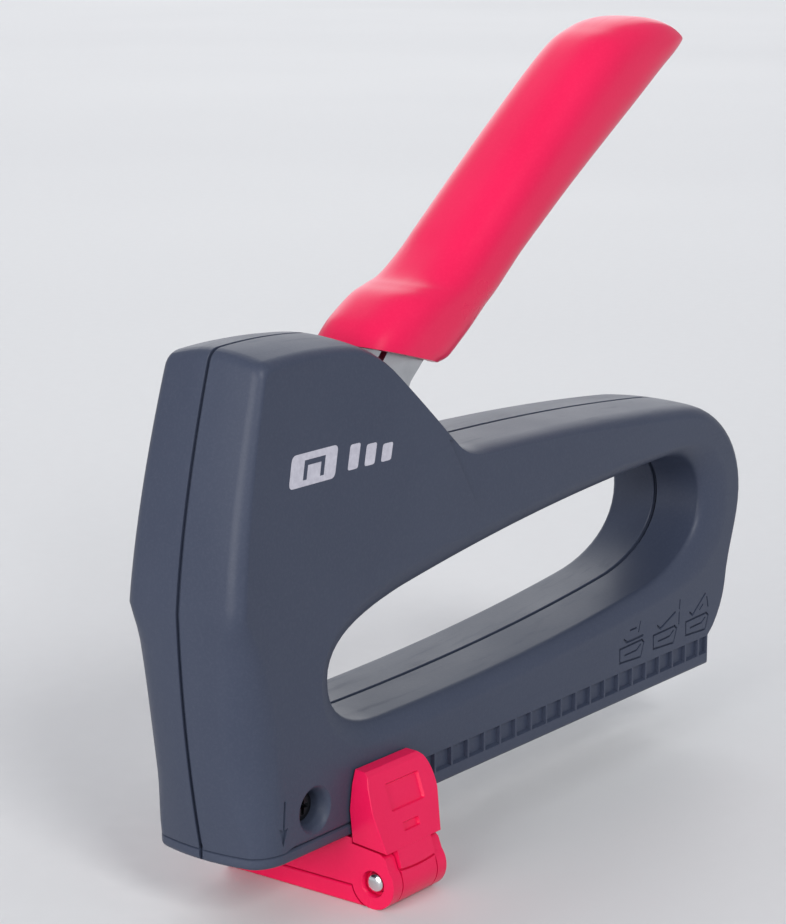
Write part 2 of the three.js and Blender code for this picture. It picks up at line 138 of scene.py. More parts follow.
def grown(points, distance):
    """A closed outline moved outwards by a distance, or inwards if it is negative."""
    before = points - np.roll(points, 1, axis=0)
    after = np.roll(points, -1, axis=0) - points
    before /= np.linalg.norm(before, axis=1)[:, None]
    after /= np.linalg.norm(after, axis=1)[:, None]
    x, z = points.T
    turning = np.sum(x * np.roll(z, -1) - np.roll(x, -1) * z)
    normal = np.stack([before[:, 1] + after[:, 1], -before[:, 0] - after[:, 0]], 1)
    normal /= np.linalg.norm(normal, axis=1)[:, None]
    stretch = normal[:, 0] * before[:, 1] - normal[:, 1] * before[:, 0]
    return points + normal * (np.sign(turning) * distance / np.maximum(0.5, stretch))[:, None]


def eased(values, steps):
    """One value at each end of the legs, eased along them."""
    found = []
    for a, b, count in zip(values, values[1:], steps):
        t = np.arange(count) / count
        found.extend(a + (b - a) * t * t * (3 - 2 * t))
    return np.array(found)


def toe_swell(outline):
    """1 on the nose below its crease and 0 elsewhere, fading out at the crease and the toe."""
    x, z = outline.T
    rise = np.clip((z - SHELL_BOTTOM) / 12, 0, 1) * np.clip((43.5 - z) / 7, 0, 1)
    return np.where(x < 0, rise * rise * (3 - 2 * rise), 0)


def arc(centre, radius, start, end, steps):
    """Points on a circle, from one angle to another in degrees."""
    angles = np.radians(np.linspace(start, end, steps + 1))
    return [(centre[0] + radius * math.cos(a), centre[1] + radius * math.sin(a)) for a in angles]


# ---------------------------------------------------------------- meshes

def new_mesh(name, points, faces):
    """An object from points and faces, with its faces turned outwards."""
    mesh = bpy.data.meshes.new(name)
    mesh.from_pydata([tuple(map(float, p)) for p in points], [], faces)
    obj = bpy.data.objects.new(name, mesh)
    bpy.context.scene.collection.objects.link(obj)
    work = bmesh.new()
    work.from_mesh(mesh)
    bmesh.ops.recalc_face_normals(work, faces=work.faces)
    work.to_mesh(mesh)
    work.free()
    return obj


def loft(rings, name="tool"):
    """A closed skin over rings with equal numbers of points, with a flat cap on each end."""
    count = len(rings[0])
    faces = [tuple(range(count)), tuple(range(count * (len(rings) - 1), count * len(rings)))]
    for i in range(len(rings) - 1):
        for j in range(count):
            k = (j + 1) % count
            faces.append((i * count + j, i * count + k, (i + 1) * count + k, (i + 1) * count + j))
    return new_mesh(name, np.concatenate(rings), faces)


def at_depth(outline, depth):
    """A side-view (X, Z) outline as a ring at one depth, or at one depth for each point."""
    return np.stack([outline[:, 0], np.broadcast_to(depth, len(outline)), outline[:, 1]], 1)


def prism(outline, low, high, axis="y", name="tool"):
    """An outline run along an axis: (X, Z) along Y, (Y, Z) along X, or (X, Y) along Z."""
    flat = np.array(outline, float)
    order = {"x": (2, 0, 1), "y": (0, 2, 1), "z": (0, 1, 2)}[axis]
    rings = [np.column_stack([flat, np.full(len(flat), at)])[:, order] for at in (low, high)]
    return loft(rings, name)


def box(x, y, z, name="tool"):
    return prism([(x[0], z[0]), (x[1], z[0]), (x[1], z[1]), (x[0], z[1])], y[0], y[1], "y", name)


def turned(axis, across, profile, sides=48, name="tool"):
    """A round solid about an axis; the profile is (radius, place along the axis) from end to end."""
    angles = np.linspace(0, 2 * math.pi, sides, endpoint=False)
    order = {"x": (2, 0, 1), "y": (0, 2, 1), "z": (0, 1, 2)}[axis]
    rings = []
    for radius, along in profile:
        a = across[0] + radius * np.cos(angles)
        b = across[1] + radius * np.sin(angles)
        rings.append(np.stack([a, b, np.full(sides, along)], 1)[:, order])
    return loft(rings, name)


def settle(obj):
    """Makes the modifiers' result the object's own mesh."""
    graph = bpy.context.evaluated_depsgraph_get()
    mesh = bpy.data.meshes.new_from_object(obj.evaluated_get(graph))
    obj.modifiers.clear()
    obj.data = mesh
    return obj


def combine(target, operation, tools):
    """Runs the same boolean operation with each tool in turn, and uses the tools up."""
    for tool in tools:
        modifier = target.modifiers.new(operation, "BOOLEAN")
        modifier.operation = operation
        modifier.solver = "EXACT"
        modifier.object = tool
    settle(target)
    for tool in tools:
        bpy.data.objects.remove(tool)
    return target


def cut(target, *tools):
    return combine(target, "DIFFERENCE", tools)


def add(target, *tools):
    return combine(target, "UNION", tools)


def common(target, *tools):
    return combine(target, "INTERSECT", tools)


def merged(objects, name="tool"):
    """Separate solids that don't touch, as one object."""
    work = bmesh.new()
    for obj in objects:
        work.from_mesh(obj.data)
        bpy.data.objects.remove(obj)
    mesh = bpy.data.meshes.new(name)
    work.to_mesh(mesh)
    work.free()
    obj = bpy.data.objects.new(name, mesh)
    bpy.context.scene.collection.objects.link(obj)
    return obj


def soften(obj, width, segments=3, angle=30):
    """Rounds the edges that are sharper than an angle."""
    modifier = obj.modifiers.new("edges", "BEVEL")
    modifier.width = width
    modifier.segments = segments
    modifier.limit_method = "ANGLE"
    modifier.angle_limit = math.radians(angle)
    modifier.use_clamp_overlap = True
    return settle(obj)


def mirrored(obj):
    """Puts a piece that was modelled with positive depth on the left (-Y) side."""
    obj.data.transform(Matrix.Scale(-1, 4, (0, 1, 0)))
    obj.data.flip_normals()
    return obj


def finish(obj, name, body, look, nodes=(), angle=32):
    """Scales a piece to metres, shades it, gives it its material and lets it ride on its body."""
    obj.name = name
    obj.data.name = name
    obj.data.transform(Matrix.Scale(MM, 4))
    obj.data.shade_smooth()
    obj.data.set_sharp_from_angle(angle=math.radians(angle))
    modifier = obj.modifiers.new("normals", "WEIGHTED_NORMAL")
    modifier.keep_sharp = True
    obj.data.materials.clear()
    obj.data.materials.append(look)
    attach(obj, body)
    if nodes:
        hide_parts(*nodes)
    return obj


# ---------------------------------------------------------------- materials

class Look:
    """A Principled material with short ways to add procedural nodes. Scales are per metre."""

    def __init__(self, name, metallic=0.0, specular=0.5):
        self.material = bpy.data.materials.new(name)
        self.material.use_nodes = True
        self.tree = self.material.node_tree
        self.shader = self.tree.nodes["Principled BSDF"]
        self.shader.inputs["Metallic"].default_value = metallic
        self.shader.inputs["Specular IOR Level"].default_value = specular
        self.place = self.tree.nodes.new("ShaderNodeTexCoord").outputs["Object"]
        self.normal = None

    def link(self, source, target):
        self.tree.links.new(source, target)

    def noise(self, scale, detail=3.0, roughness=0.5, stretch=(1, 1, 1)):
        mapping = self.tree.nodes.new("ShaderNodeMapping")
        mapping.inputs["Scale"].default_value = stretch
        self.link(self.place, mapping.inputs["Vector"])
        node = self.tree.nodes.new("ShaderNodeTexNoise")
        node.inputs["Scale"].default_value = scale
        node.inputs["Detail"].default_value = detail
        node.inputs["Roughness"].default_value = roughness
        self.link(mapping.outputs["Vector"], node.inputs["Vector"])
        return node.outputs["Fac"]

    def cells(self, scale):
        node = self.tree.nodes.new("ShaderNodeTexVoronoi")
        node.inputs["Scale"].default_value = scale
        self.link(self.place, node.inputs["Vector"])
        return node.outputs["Distance"]

    def between(self, source, low, high, start=0.3, end=0.7):
        node = self.tree.nodes.new("ShaderNodeMapRange")
        node.inputs["From Min"].default_value = start
        node.inputs["From Max"].default_value = end
        node.inputs["To Min"].default_value = low
        node.inputs["To Max"].default_value = high
        self.link(source, node.inputs["Value"])
        return node.outputs["Result"]

    def mix(self, factor, a, b):
        """Mixes two colours, each a colour or a socket."""
        node = self.tree.nodes.new("ShaderNodeMix")
        node.data_type = "RGBA"
        self.link(factor, node.inputs["Factor"])
        for value, target in ((a, node.inputs[6]), (b, node.inputs[7])):
            if isinstance(value, tuple):
                target.default_value = (*value, 1)
            else:
                self.link(value, target)
        return node.outputs[2]

    def total(self, a, b):
        node = self.tree.nodes.new("ShaderNodeMath")
        node.operation = "ADD"
        self.link(a, node.inputs[0])
        self.link(b, node.inputs[1])
        return node.outputs["Value"]

    def bump(self, height, strength, distance):
        node = self.tree.nodes.new("ShaderNodeBump")
        node.inputs["Strength"].default_value = strength
        node.inputs["Distance"].default_value = distance
        self.link(height, node.inputs["Height"])
        if self.normal:
            self.link(self.normal, node.inputs["Normal"])
        self.normal = node.outputs["Normal"]

    def done(self, colour, roughness):
        self.link(colour, self.shader.inputs["Base Color"])
        self.link(roughness, self.shader.inputs["Roughness"])
        if self.normal:
            self.link(self.normal, self.shader.inputs["Normal"])
        return self.material


def moulded_plastic(name, dark, light, rubbed, rough, grain, specular):
    """Moulded plastic: flow marks, a fine spark-eroded grain, faint rubbed streaks and specks."""
    look = Look(name, specular=specular)
    flow = look.noise(38, 4, 0.55, (1, 1.6, 0.7))
    speckle = look.noise(1900, 2, 0.6)
    streaks = look.noise(520, 5, 0.7, (0.12, 1, 1))
    colour = look.mix(look.between(flow, 0, 1), dark, light)
    colour = look.mix(look.between(speckle, 0, 0.35, 0.45, 0.8), colour, rubbed)
    colour = look.mix(look.between(streaks, 0, 0.22, 0.62, 0.8), colour, rubbed)
    gloss = look.total(look.between(flow, rough - 0.04, rough + 0.04),
                       look.between(streaks, 0, 0.12, 0.55, 0.8))
    look.bump(look.cells(2600), grain, 0.00004)
    look.bump(speckle, grain, 0.00004)
    look.bump(look.noise(95, 3), 0.12, 0.0003)
    return look.done(colour, gloss)


def bare_metal(name, dark, light, rough, brushed=(1, 1, 1), scratches=0.25):
    """Metal with a brushed or rolled grain, mottling, and scratches that change its gloss."""
    look = Look(name, metallic=1.0)
    mottle = look.noise(220, 4, 0.6)
    brush = look.noise(900, 6, 0.65, brushed)
    scratch = look.noise(700, 3, 0.6, (0.06, 1, 1))
    colour = look.mix(look.between(mottle, 0, 1), dark, light)
    colour = look.mix(look.between(brush, 0, 0.4), colour, dark)
    gloss = look.total(look.between(brush, rough - 0.06, rough + 0.08),
                       look.between(scratch, 0, scratches, 0.58, 0.8))
    look.bump(brush, 0.25, 0.00003)
    return look.done(colour, gloss)


def soft_rubber(name):
    look = Look(name, specular=0.35)
    grain = look.noise(1500, 4, 0.7)
    bloom = look.noise(120, 3)
    colour = look.mix(look.between(bloom, 0, 1), (0.010, 0.010, 0.011), (0.022, 0.022, 0.023))
    look.bump(grain, 0.5, 0.0001)
    return look.done(colour, look.between(grain, 0.72, 0.92))


def printed_ink(name):
    look = Look(name)
    wear = look.noise(900, 4, 0.7)
    colour = look.mix(look.between(wear, 0, 1, 0.35, 0.75), (0.56, 0.55, 0.62), (0.44, 0.43, 0.50))
    look.bump(look.noise(2600, 2), 0.3, 0.00002)
    return look.done(colour, look.between(wear, 0.38, 0.58))


def studio_floor(name):
    look = Look(name, specular=0.25)
    cloud = look.noise(1.3, 3)
    grain = look.noise(240, 3)
    colour = look.mix(look.between(cloud, 0, 1), (0.70, 0.70, 0.705), (0.74, 0.74, 0.742))
    look.bump(grain, 0.05, 0.0005)
    return look.done(colour, look.between(grain, 0.55, 0.65))


SLATE = moulded_plastic("slate_plastic", (0.040, 0.050, 0.083), (0.046, 0.057, 0.092),
                        (0.066, 0.078, 0.114), 0.45, 0.2, 0.3)
RED = moulded_plastic("red_plastic", (0.76, 0.006, 0.075), (0.81, 0.008, 0.085),
                      (0.84, 0.018, 0.10), 0.3, 0.05, 0.3)
STEEL = bare_metal("bright_steel", (0.46, 0.47, 0.49), (0.58, 0.59, 0.61), 0.32, (0.05, 1, 1))
DARK_STEEL = bare_metal("black_steel", (0.030, 0.032, 0.038), (0.060, 0.062, 0.068), 0.42)
ZINC = bare_metal("zinc_plate", (0.50, 0.51, 0.52), (0.66, 0.67, 0.68), 0.34)
CHROME = bare_metal("chrome", (0.78, 0.79, 0.81), (0.86, 0.87, 0.88), 0.10, scratches=0.06)
RUBBER = soft_rubber("black_rubber")
INK = printed_ink("grey_print")
FINISH = {"housing": SLATE, "red_plastic": RED, "steel": STEEL, "dark_steel": DARK_STEEL,
          "zinc": ZINC, "chrome": CHROME, "rubber": RUBBER}


# ---------------------------------------------------------------- housing

# Side view at the seam and on the flat side, leg by leg: nose, brow, front top edge, head top,
# shoulder, back slope, saddle, upper bar, rear loop, heel, heel foot, rail end, underside, toe.
STEPS = (18, 16, 6, 10, 8, 8, 6, 18, 14, 8, 5, 2, 1, 30, 1)
SEAM_OUTLINE = closed(trace(
    (-1, SHELL_BOTTOM),
    ((-5.2, 22.8, -5.8, 43.5), (-4.3, 60.6, 2.7, 83.6), (3.3, 85.5, 5.2, 85.7),
     (16, 86.4, 26.5, 85.2), (31.5, 84.4, 37.8, 78.2), (55, 63.6), (57.6, 61.4, 64, 61.4),
     (101, 61, 134, 57.6), (146, 56.2, 155.1, 48, 155.1, 37), (155.1, 30, 150.5, 25, 149.6, 18),
     (149, 13.5, 144, 9.2), (RAIL_REAR, RAIL_TOP), (RAIL_REAR, SHELL_BOTTOM), (9, SHELL_BOTTOM),
     (-1, SHELL_BOTTOM)),
    STEPS))
SIDE_OUTLINE = closed(trace(
    (6, SHELL_BOTTOM),
    ((5.5, 16, 4.6, 33, -2.8, 43.5), (-1.4, 61, 4.2, 80.4), (4.7, 82.4, 6.6, 82.7),
     (16, 83.4, 26.2, 82.4), (31.8, 82.4, 37.6, 77.3), (54.7, 62), (57, 59.6, 63, 58.8),
     (100, 58.3, 132.4, 54.8), (143.4, 53.4, 151.4, 46.4, 151.4, 37), (151.4, 31, 147.8, 26, 147, 18.6),
     (146.3, 14.8, 142.9, 10.4), (RAIL_REAR - 0.4, RAIL_TOP + 0.2), (RAIL_REAR - 0.4, 3.1), (10, 3.1),
     (6, SHELL_BOTTOM)),
    STEPS))
# How far each edge's rounding reaches across the width, and how much of the drop is a slow crown.
EDGE_REACH = eased((3.4, 3, 2.4, 2, 2.2, 3, 3, 3.8, 4, 5, 4, 2, 0.5, 0.8, 0.8, 3.4), STEPS)
EDGE_REACH += 2.6 * toe_swell(SEAM_OUTLINE)
CROWN = eased((0.3, 0.25, 0.45, 0.6, 0.6, 0.4, 0.3, 0.3, 0.3, 0.2, 0.2, 0.1, 0, 0, 0, 0.3), STEPS)

# Side view of the finger hole at the seam and of the soft ledge round it on the flat side.
HOLE_STEPS = (22, 12, 12, 22, 12, 10)
HOLE_SEAM = closed(trace(
    (34, 18.7),
    ((80, 18.6, 119, 23.2), (130, 24.4, 139.6, 29.5, 139.6, 37), (139.6, 44.5, 133, 47.6, 124, 47.5),
     (82, 46.2, 40, 39.5), (28, 37.2, 20.1, 34.5, 20.1, 28.5), (20.1, 22.5, 25.5, 18.9, 34, 18.7)),
    HOLE_STEPS))
HOLE_LEDGE = closed(trace(
    (31, 14.2),
    ((82, 15.6, 124, 19.6), (140, 21, 147.6, 24.5, 147.6, 37), (147.6, 46.5, 140, 50.2, 128, 50.1),
     (86, 50.2, 40, 44.3), (26, 42, 15.4, 37.5, 15.4, 28.8), (15.4, 19.5, 21.5, 14.1, 31, 14.2)),
    HOLE_STEPS))


def seam_groove(outline, sign):
    """Rings of half the groove along the seam; sign is 1 if material lies outside the outline."""
    return [at_depth(grown(outline, sign * SEAM_DEEP), SEAM_HALF),
            at_depth(grown(outline, sign * 0.1), SEAM_HALF),
            at_depth(outline, SEAM_HALF + 0.1)]


def housing_skin():
    """One half of the housing as a full solid: groove, crowned middle, rounded edge, flat side."""
    drop = SIDE_OUTLINE - SEAM_OUTLINE
    rings = [at_depth(grown(SEAM_OUTLINE, -SEAM_DEEP), GAP / 2)]
    rings += seam_groove(SEAM_OUTLINE, -1)
    start = HALF - EDGE_REACH
    depths = [SEAM_HALF + 0.1 + (start - SEAM_HALF - 0.1) * k / 4 for k in range(1, 5)]
    rounds = [0] * 4
    for k in range(1, 10):
        angle = math.radians(90 * k / 9)
        depths.append(start + EDGE_REACH * math.sin(angle))
        rounds.append(1 - math.cos(angle))
    for depth, rounding in zip(depths, rounds):
        share = CROWN * (depth / HALF) ** 2 + (1 - CROWN) * rounding
        rings.append(at_depth(SEAM_OUTLINE + drop * share[:, None], depth))
    return loft(rings)


def waist(x, z):
    """The head gets narrower towards its front top edge; this is the share of the width left."""
    up = np.clip((z - 44) / 41, 0, 1)
    ahead = np.clip((50 - x) / 34, 0, 1)
    return 1 - 0.155 * up * ahead * ahead * (3 - 2 * ahead)


def narrow(obj):
    """Applies the head's waist to a piece, once its big flat sides are divided finely enough."""
    work = bmesh.new()
    work.from_mesh(obj.data)
    for axis, places in (((0, 0, 1), (9.2, *range(46, 86, 4))),
                         ((1, 0, 0), (*range(4, 54, 5), 80.2, 105.9, 118.2, 130.8))):
        for place in places:
            bmesh.ops.bisect_plane(work, geom=work.verts[:] + work.edges[:] + work.faces[:],
                                   dist=1e-5, plane_co=[c * place for c in axis], plane_no=axis)
    for vertex in work.verts:
        vertex.co.y *= waist(vertex.co.x, vertex.co.z)
    work.to_mesh(obj.data)
    work.free()
    return obj


def hole_tool():
    """The finger hole: groove, tunnel with a little draft, and the flare out to the ledge."""
    flare_start = HALF - 2.9
    flare_end = math.radians(66)
    rings = [at_depth(grown(HOLE_SEAM, SEAM_DEEP), -1)] + seam_groove(HOLE_SEAM, 1)
    rings += [at_depth(grown(HOLE_SEAM, 0.2), 5), at_depth(grown(HOLE_SEAM, 0.45), flare_start)]
    inner = grown(HOLE_SEAM, 0.45)
    for k in range(1, 10):
        angle = flare_end * k / 9
        share = (1 - math.cos(angle)) / (1 - math.cos(flare_end))
        depth = flare_start + (HALF - flare_start) * math.sin(angle) / math.sin(flare_end)
        rings.append(at_depth(inner + (HOLE_LEDGE - inner) * share, depth))
    rings.append(at_depth(HOLE_LEDGE, HALF + 2))
    return loft(rings)


def cavity_tool():
    """The space inside the housing, which goes round the finger hole's wall."""
    wide, narrow_end = grown(SEAM_OUTLINE, -WALL), grown(SIDE_OUTLINE, -WALL)
    space = loft([at_depth(wide, -1), at_depth(wide, 6.6), at_depth(narrow_end, CAVITY)])
    return cut(space, prism(grown(HOLE_SEAM, WALL), -2, HALF))


def slot_tools():
    """The room for the magazine along the rail and for the lever in the head's back slope."""
    magazine = box((1, 160), (-1, MAGAZINE_HALF), (-1, MAGAZINE_TOP))
    lever = prism([(31, 92), (31, 74), (58.5, 55), (58.5, 70), (45, 92)], -1, LEVER_SLOT_HALF)
    return magazine, lever


def bosses():
    """Round bosses for the screws and the lever pivot, and the ledge under the bumper."""
    deep = CAVITY + 0.3
    tubes = [turned("y", at, [(3.4, 0.3), (3.4, deep * waist(*at))], 32) for at in SHELL_SCREWS]
    tubes.append(turned("y", (PIVOT[0], PIVOT[2]), [(4.6, 5.6), (4.6, deep)], 32))
    tubes.append(box((3.6, 12), (4, deep), (21.5, 23.7)))
    tubes.append(turned("y", NOSE_SCREW, [(4, 7.5), (4, deep)], 32))
    return tubes


def windows():
    """The row of pockets between ribs along the rail. The first ones are behind the guide."""
    pitch = 5
    first = 37.4
    rib = 0.5
    tools = []
    for k in range(21):
        start = first + pitch * k + rib / 2
        end = min(start + pitch - rib, RAIL_REAR - 0.8)
        top = [(start, LIP_TOP), (end, LIP_TOP), (end, RAIL_TOP), (start, RAIL_TOP)]
        floor = [(start + 0.1, LIP_TOP + 0.3), (end - 0.1, LIP_TOP + 0.3),
                 (end - 0.1, RAIL_TOP - 0.1), (start + 0.1, RAIL_TOP - 0.1)]
        rings = [at_depth(np.array(floor), HALF - 0.8), at_depth(np.array(top), HALF),
                 at_depth(np.array(top), HALF + 1)]
        tools.append(loft(rings))
    return merged(tools)


def stroke(a, b, width, deep=0.4):
    """A straight engraved stroke between two points of the side view, with tapered walls."""
    a, b = np.array(a, float), np.array(b, float)
    along = (b - a) / np.linalg.norm(b - a) / 2
    across = np.array([-along[1], along[0]])

    def ring(size):
        x, z = along * size, across * size
        return np.array([a - x - z, b + x - z, b + x + z, a - x + z])

    return loft([at_depth(ring(width * 0.6), HALF - deep), at_depth(ring(width), HALF),
                 at_depth(ring(width), HALF + 1)])


def polyline(points, width):
    """Strokes end to end; each is cut on its own, as their ends overlap."""
    return [stroke(a, b, width) for a, b in zip(points, points[1:])]


def arrow():
    """The arrow that points down at the nose, where the staples come out."""
    head = [(5.4, 3.3), (6.6, 6.5), (5.6, 6.1), (4.5, 6.7)]
    return [stroke((5.9, 10.9), (5.6, 6.2), 0.55), prism(head, HALF - 0.45, HALF + 1)]


def pictogram(x, z, lean, dashes):
    """A small engraved stapler: body, slit, a lever raised by an angle in degrees, and dashes."""
    body = [(0, 0), (7.6, -0.4), (8.7, 2.3), (7.9, 3), (-0.1, 2.8), (0, 0)]
    slit = [(1.8, 1.2), (6, 1.3), (7.4, 2.1)]
    lean = math.radians(lean)
    lever = [(1.4, 4.4), (2.5, 3.7), (2.5 + 5.8 * math.cos(lean), 3.7 + 5.8 * math.sin(lean))]
    marks = []
    for line, width in ((body, 0.42), (slit, 0.38), (lever, 0.5), *((dash, 0.4) for dash in dashes)):
        marks += polyline([(x + a, z + b) for a, b in line], width)
    return marks


def pictograms():
    """Three generic lever positions: closed, half open and open."""
    shown = ((107.7, 1, [[(3.7, 5.9), (5.8, 5.9)], [(7.3, 6.8), (6.7, 5)]]),
             (120, 21, [[(9.5, 3.1), (9.6, 5.4)], [(9.6, 6.2), (9.8, 7.9)]]),
             (132.3, 36, [[(8, 6.3), (8.5, 4.3)], [(5.3, 4.3), (6.4, 5)]]))
    return [mark for x, lean, dashes in shown for mark in pictogram(x, 10.3, lean, dashes)]


def dish_tool(deep):
    """The dished bore that the nose screw sits in."""
    profile = [(2.9, deep), (2.9, HALF - 2.2), (3.05, HALF - 1.7), (3.45, HALF - 0.8),
               (3.8, HALF - 0.25), (4.2, HALF), (4.8, HALF + 0.15)]
    return turned("y", NOSE_SCREW, profile, 56)


def shoulder_tool():
    """A sliver off the bar's side, so that the head's back slope runs on down it as a soft ridge."""
    corners = np.array([(51.2, 64.3), (61, 49), (112, 57.2)])
    return loft([at_depth(corners, np.array([HALF - 0.62, HALF + 0.01, HALF + 0.01])),
                 at_depth(corners, HALF + 1)])


def shell_half(side):
    """One half of the housing; side is -1 for the left and 1 for the right, which has the heads."""
    half = cut(narrow(housing_skin()), narrow(cavity_tool()), hole_tool(), *slot_tools())
    half = add(half, *bosses())
    bores = [turned("y", (PIVOT[0], PIVOT[2]), [(2.6, 4), (2.6, 9.6)], 32), dish_tool(8.9),
             turned("y", NOSE_SCREW, [(THREAD, 6), (THREAD, 9.5)], 24)]
    for at in SHELL_SCREWS:
        if side < 0:
            bores.append(turned("y", at, [(THREAD, 0), (THREAD, 8.8 * waist(*at))], 24))
        else:
            face = HALF * waist(*at)
            bores.append(turned("y", at, [(THREAD, 0), (THREAD, face - 2.4), (3.3, face - 2.4),
                                          (3.3, face - 0.2), (3.7, face + 0.15)], 40))
    half = cut(half, *bores)
    cut(half, shoulder_tool(), windows())
    return cut(half, *arrow(), *pictograms())


def housing():
    """Both halves of the housing."""
    right = finish(shell_half(1), "right_shell_skin", "housing", SLATE, ["right_shell"])
    left = finish(mirrored(shell_half(-1)), "left_shell_skin", "housing", SLATE,
                  ["left_shell"])
    return left, right


def mark_piece():
    """A generic printed mark: a badge with a staple left clear in it, and three slanted bars."""
    low, high = 63, 68.4
    slant = 1.3

    def leaning(x0, x1, z0, z1):
        shift = [slant * (z - low) / (high - low) for z in (z0, z1)]
        return [(x0 + shift[0], z0), (x1 + shift[0], z0), (x1 + shift[1], z1), (x0 + shift[1], z1)]

    deep, proud = HALF - 0.12, HALF + 0.03
    badge = soften_plan(leaning(8.6, 20.4, low, high), 1.1)
    badge = prism(badge, deep, proud)
    staple = [leaning(12, 13, 64, 67.2), leaning(12, 17.4, 66.3, 67.2), leaning(16.4, 17.4, 64, 67.2)]
    badge = cut(badge, *[prism(part, deep - 1, proud + 1) for part in staple])
    bars = [prism(soften_plan(leaning(x, x + 2.6, low + 0.6, top), 0.5), deep, proud)
            for x, top in ((23.6, high - 0.6), (27.9, high - 1.2), (32.2, high - 1.8))]
    mark = mirrored(narrow(merged([badge, *bars])))
    return finish(mark, "side_mark", "housing", INK)


def soften_plan(corners, radius):
    """A polygon with its corners rounded by a radius."""
    corners = [np.array(c, float) for c in corners]
    points = []
    for before, at, after in zip([corners[-1]] + corners, corners, corners[1:] + corners[:1]):
        start = at + (before - at) / np.linalg.norm(before - at) * radius
        end = at + (after - at) / np.linalg.norm(after - at) * radius
        points.extend(trace(start, [(*at, *end)], [5]))
    return points


# ---------------------------------------------------------------- nose foot and screws

def nose_foot():
    """The foot plate, which carries the nose's plan on down and is rounded underneath."""
    drop = SIDE_OUTLINE[0][0] - SEAM_OUTLINE[0][0]
    reach, crown = EDGE_REACH[0], CROWN[0]
    front = []
    for depth in (*np.linspace(0, HALF - reach, 6), *(HALF - reach + reach * np.sin(
            np.radians(np.linspace(11, 90, 8))))):
        lean = max(0, (depth - HALF + reach) / reach)
        rounding = 1 - math.sqrt(max(0, 1 - lean * lean))
        share = crown * (depth / HALF) ** 2 + (1 - crown) * rounding
        front.append((SEAM_OUTLINE[0][0] + drop * share, depth))
    rear = [(FOOT_REAR - 1, HALF), *arc((FOOT_REAR - 1, HALF - 1), 1, 75, 0, 5)]
    near = front + rear
    plan = np.array(near + [(x, -y) for x, y in reversed(near)][:-1])
    edge = 0.9
    rings = []
    for angle in np.radians(np.linspace(0, 90, 6)):
        ring = grown(plan, -edge * (1 - math.sin(angle)))
        rings.append(np.column_stack([ring, np.full(len(ring), edge * (1 - math.cos(angle)))]))
    rings.append(np.column_stack([plan, np.full(len(plan), FOOT_TOP - 0.3)]))
    inner = grown(plan, -0.4)
    rings.append(np.column_stack([inner, np.full(len(plan), FOOT_TOP)]))
    foot = loft(rings)
    seam = box((-4, SEAM_OUTLINE[0][0] + SEAM_DEEP), (-SEAM_HALF, SEAM_HALF), (-1, 3))
    slot = box((1, 50), (-MAGAZINE_HALF, MAGAZINE_HALF), (-1, 3))
    bores = [turned("z", (FOOT_SCREW_X, side * FOOT_SCREW_Y), [(2, -0.4), (1.6, 0.15), (1.6, 3)], 32)
             for side in (-1, 1)]
    cut(foot, seam, slot, *bores)
    return finish(foot, "nose_foot_skin", "housing", SLATE, ["nose_foot"])


def cross_recess(axis, across, face, inward, size):
    """A tapered cross for a driver, from a screw head's face inwards."""
    tools = []
    for long, wide in ((size, size * 0.24), (size * 0.24, size)):
        rings = []
        for along, grow in ((face - inward * 0.2, 1.06), (face + inward * size * 0.42, 0.55)):
            corners = [(-long, -wide), (long, -wide), (long, wide), (-long, wide)]
            flat = [(across[0] + a * grow / 2, across[1] + b * grow / 2) for a, b in corners]
            order = {"x": (2, 0, 1), "y": (0, 2, 1), "z": (0, 1, 2)}[axis]
            rings.append(np.column_stack([flat, np.full(4, along)])[:, order])
        tools.append(loft(rings))
    return tools


def screw(axis, across, tip, neck, face, shank, head):
    """A pan-head screw from its tip to the face of its head, with a cross for the driver."""
    way = 1 if face > tip else -1
    crown = abs(face - neck)
    profile = [(shank * 0.6, tip), (shank, tip + way * 0.5), (shank, neck), (head - 0.12, neck),
               (head, neck + way * 0.12), (head, neck + way * crown * 0.45),
               (head * 0.93, neck + way * crown * 0.75), (head * 0.76, face - way * 0.05),
               (head * 0.6, face)]
    body = turned(axis, across, profile, 40)
    return cut(body, *cross_recess(axis, across, face, -way, head * 1.15))


def screws():
    """Every screw: in the shells, low on the nose, under the foot and under the guide."""
    for number, at in enumerate(SHELL_SCREWS, 1):
        face = HALF * waist(*at)
        piece = screw("y", at, -8.5 * waist(*at), face - 2.1, face - 0.5, 1.4, 2.9)
        node = f"shell_screw_{number}"
        finish(piece, node + "_shape", "housing", DARK_STEEL, [node])
    for name, side in (("left", -1), ("right", 1)):
        piece = screw("y", NOSE_SCREW, side * 7.2, side * 9.05, side * 9.75, 1.4, 2.6)
        finish(piece, f"nose_screw_{name}_shape", "housing", DARK_STEEL,
               [f"nose_screw_{name}"])
        place = (FOOT_SCREW_X, side * FOOT_SCREW_Y)
        piece = screw("z", place, FOOT_TOP, 0.9, 0.25, 0.9, 1.35)
        finish(piece, f"foot_screw_{name}_shape", "housing", DARK_STEEL,
               [f"foot_screw_{name}"])
        piece = screw("z", (GUIDE_MIDDLE, side * GUIDE_SCREW_Y), -4, -10.7, -12, 1.4, 2.5)
        finish(piece, f"guide_screw_{name}_shape", "edge_guide", DARK_STEEL,
               [f"guide_screw_{name}"])


# ---------------------------------------------------------------- lever

